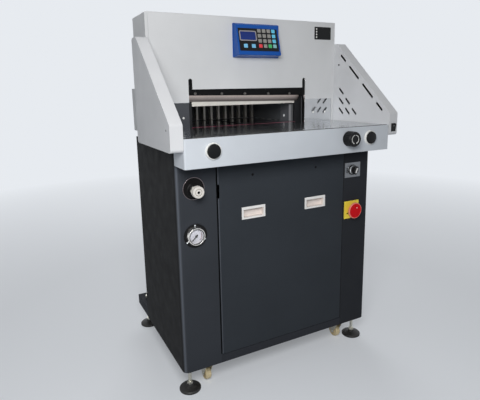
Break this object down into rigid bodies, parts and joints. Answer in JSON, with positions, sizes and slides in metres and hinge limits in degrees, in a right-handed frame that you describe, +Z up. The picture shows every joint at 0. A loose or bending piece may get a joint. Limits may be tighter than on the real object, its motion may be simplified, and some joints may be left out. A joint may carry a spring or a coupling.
{
  "type": "hydraulic paper cutter",
  "caption": "Floor-standing hydraulic paper guillotine: grey housing with swinging knife and clamp over a polished table with guard wings, on an anthracite cabinet with levelling feet.",
  "frame": {"origin": "on the floor, under the middle of the machine's outline", "axes": "+Z up, front (operator's side) faces -Y, +X to the operator's right"},
  "size_m": [0.88, 0.826, 1.3],
  "materials": {
    "grey_paint": "fine light-grey powder coat",
    "anthracite_paint": "fine anthracite powder coat",
    "polished_steel": "ground and polished steel",
    "machined_steel": "machined steel",
    "cast_paint": "painted cast iron",
    "black_steel": "satin black steel",
    "knife_steel": "ground tool steel",
    "red_plastic": "red cutting stick plastic",
    "blue_paint": "satin blue paint",
    "black_plastic": "black moulded plastic",
    "chrome": "polished chrome",
    "clear_glass": "clear gauge window",
    "cream_plastic": "cream moulded plastic",
    "valve_metal": "cast aluminium",
    "white_plastic": "white moulded plastic",
    "switch_plate": "satin aluminium plate",
    "yellow_plastic": "yellow moulded plastic",
    "red_knob": "red moulded plastic",
    "unit_paint": "grey machine enamel",
    "motor_paint": "blue-grey motor enamel",
    "box_plastic": "grey enclosure plastic",
    "zinc": "zinc-plated steel",
    "black_rubber": "black rubber",
    "nylon": "cream nylon"
  },
  "bodies": {
    "frame": {"base_frame": "anthracite_paint", "left_cabinet_panel": "anthracite_paint", "right_cabinet_panel": "anthracite_paint", "rear_cabinet_panel": "anthracite_paint", "front_table": "polished_steel", "rear_table": "polished_steel", "cutting_stick": "red_plastic", "front_apron": "grey_paint", "left_upright": "cast_paint", "right_upright": "cast_paint", "cross_beam": "cast_paint", "guide_covers": "polished_steel", "front_cover": "grey_paint", "housing_shell": "grey_paint", "rear_cover": "grey_paint", "left_wing": "grey_paint", "right_wing": "grey_paint", "rear_guard": "grey_paint", "control_box": "blue_paint", "control_face": "black_plastic", "gauge_case": "black_plastic", "gauge_bezel": "chrome", "gauge_glass": "clear_glass", "regulator_body": "valve_metal", "button_bezels": "white_plastic", "selector_plate": "switch_plate", "isolator_plate": "yellow_plastic", "oil_tank": "unit_paint", "pump_motor": "motor_paint", "clamp_cylinders": "unit_paint", "knife_cylinder": "unit_paint", "electrical_box": "box_plastic", "gauge_rails": "machined_steel", "gauge_motor": "black_plastic", "foot_pads": "black_rubber", "foot_stems": "zinc", "rear_forks": "zinc"},
    "front_panel": {"access_panel": "anthracite_paint", "recessed_grips": "cream_plastic"},
    "knife_slider": {"knife_slider": "machined_steel"},
    "knife_beam": {"knife_carrier": "black_steel", "knife": "knife_steel"},
    "clamp": {"clamp_beam": "machined_steel", "clamp_rods": "machined_steel"},
    "back_gauge": {"back_gauge": "black_steel"},
    "lead_screw": {"lead_screw": "machined_steel"},
    "left_button": {"left_button": "black_plastic"},
    "right_button": {"right_button": "black_plastic"},
    "dial_knob": {"dial_knob": "black_plastic"},
    "rocker": {"rocker": "black_plastic"},
    "selector_knob": {"selector_knob": "black_plastic"},
    "isolator_knob": {"isolator_knob": "red_knob"},
    "regulator_knob": {"regulator_knob": "cream_plastic"},
    "gauge_needle": {"gauge_needle": "black_plastic"},
    "front_left_fork": {"front_left_fork": "zinc"},
    "front_right_fork": {"front_right_fork": "zinc"},
    "front_left_wheel": {"front_left_wheel": "nylon"},
    "front_right_wheel": {"front_right_wheel": "nylon"},
    "rear_left_wheel": {"rear_left_wheel": "nylon"},
    "rear_right_wheel": {"rear_right_wheel": "nylon"}
  },
  "joints": [
    {"name": "panel_pull", "type": "slide", "parent": "frame", "child": "front_panel", "axis": [0, -1, 0], "range_m": [0, 0.15]},
    {"name": "knife_slide", "type": "slide", "parent": "frame", "child": "knife_slider", "axis": [0.2265, 0, -0.974], "range_m": [0, 0.0882]},
    {"name": "knife_swing", "type": "hinge", "parent": "knife_slider", "child": "knife_beam", "pos_m": [0.27, -0.031, 1.0684], "axis": [0, -1, 0], "range_deg": [0, 1]},
    {"name": "clamp_press", "type": "slide", "parent": "frame", "child": "clamp", "axis": [0, 0, -1], "range_m": [0, 0.076]},
    {"name": "gauge_travel", "type": "slide", "parent": "frame", "child": "back_gauge", "axis": [0, -1, 0], "range_m": [0, 0.31]},
    {"name": "screw_turn", "type": "hinge", "parent": "frame", "child": "lead_screw", "pos_m": [0, 0.12, 0.845], "axis": [0, 1, 0], "continuous": true},
    {"name": "left_button_press", "type": "slide", "parent": "frame", "child": "left_button", "axis": [0, 1, 0], "range_m": [0, 0.005], "stiffness_N_per_m": 600},
    {"name": "right_button_press", "type": "slide", "parent": "frame", "child": "right_button", "axis": [0, 1, 0], "range_m": [0, 0.005], "stiffness_N_per_m": 600},
    {"name": "dial_turn", "type": "hinge", "parent": "frame", "child": "dial_knob", "pos_m": [0.207, -0.39, 0.864], "axis": [0, 1, 0], "range_deg": [-135, 135]},
    {"name": "rocker_tip", "type": "hinge", "parent": "frame", "child": "rocker", "pos_m": [0.422, -0.368, 0.891], "axis": [-1, 0, 0], "range_deg": [0, 14]},
    {"name": "selector_turn", "type": "hinge", "parent": "frame", "child": "selector_knob", "pos_m": [0.311, -0.29, 0.729], "axis": [0, 1, 0], "range_deg": [-45, 45]},
    {"name": "isolator_turn", "type": "hinge", "parent": "frame", "child": "isolator_knob", "pos_m": [0.311, -0.29, 0.572], "axis": [0, 1, 0], "range_deg": [0, 90]},
    {"name": "regulator_turn", "type": "hinge", "parent": "frame", "child": "regulator_knob", "pos_m": [-0.34, -0.3, 0.7285], "axis": [0, 1, 0], "range_deg": [-720, 720]},
    {"name": "needle_swing", "type": "hinge", "parent": "frame", "child": "gauge_needle", "pos_m": [-0.34, -0.289, 0.576], "axis": [0, 1, 0], "range_deg": [0, 270], "stiffness_Nm_per_rad": 0.0005},
    {"name": "front_left_swivel", "type": "hinge", "parent": "frame", "child": "front_left_fork", "pos_m": [-0.296, -0.237, 0.07], "axis": [0, 0, 1], "continuous": true},
    {"name": "front_right_swivel", "type": "hinge", "parent": "frame", "child": "front_right_fork", "pos_m": [0.296, -0.237, 0.07], "axis": [0, 0, 1], "continuous": true},
    {"name": "front_left_roll", "type": "hinge", "parent": "front_left_fork", "child": "front_left_wheel", "pos_m": [-0.296, -0.221, 0.029], "axis": [1, 0, 0], "continuous": true},
    {"name": "front_right_roll", "type": "hinge", "parent": "front_right_fork", "child": "front_right_wheel", "pos_m": [0.296, -0.221, 0.029], "axis": [1, 0, 0], "continuous": true},
    {"name": "rear_left_roll", "type": "hinge", "parent": "frame", "child": "rear_left_wheel", "pos_m": [-0.296, 0.255, 0.029], "axis": [1, 0, 0], "continuous": true},
    {"name": "rear_right_roll", "type": "hinge", "parent": "frame", "child": "rear_right_wheel", "pos_m": [0.296, 0.255, 0.029], "axis": [1, 0, 0], "continuous": true}
  ],
  "couplings": [
    {"joint": "knife_swing", "follows": "knife_slide", "rad_per_m": 0.1977},
    {"joint": "screw_turn", "follows": "gauge_travel", "rad_per_m": 628.32}
  ]
}
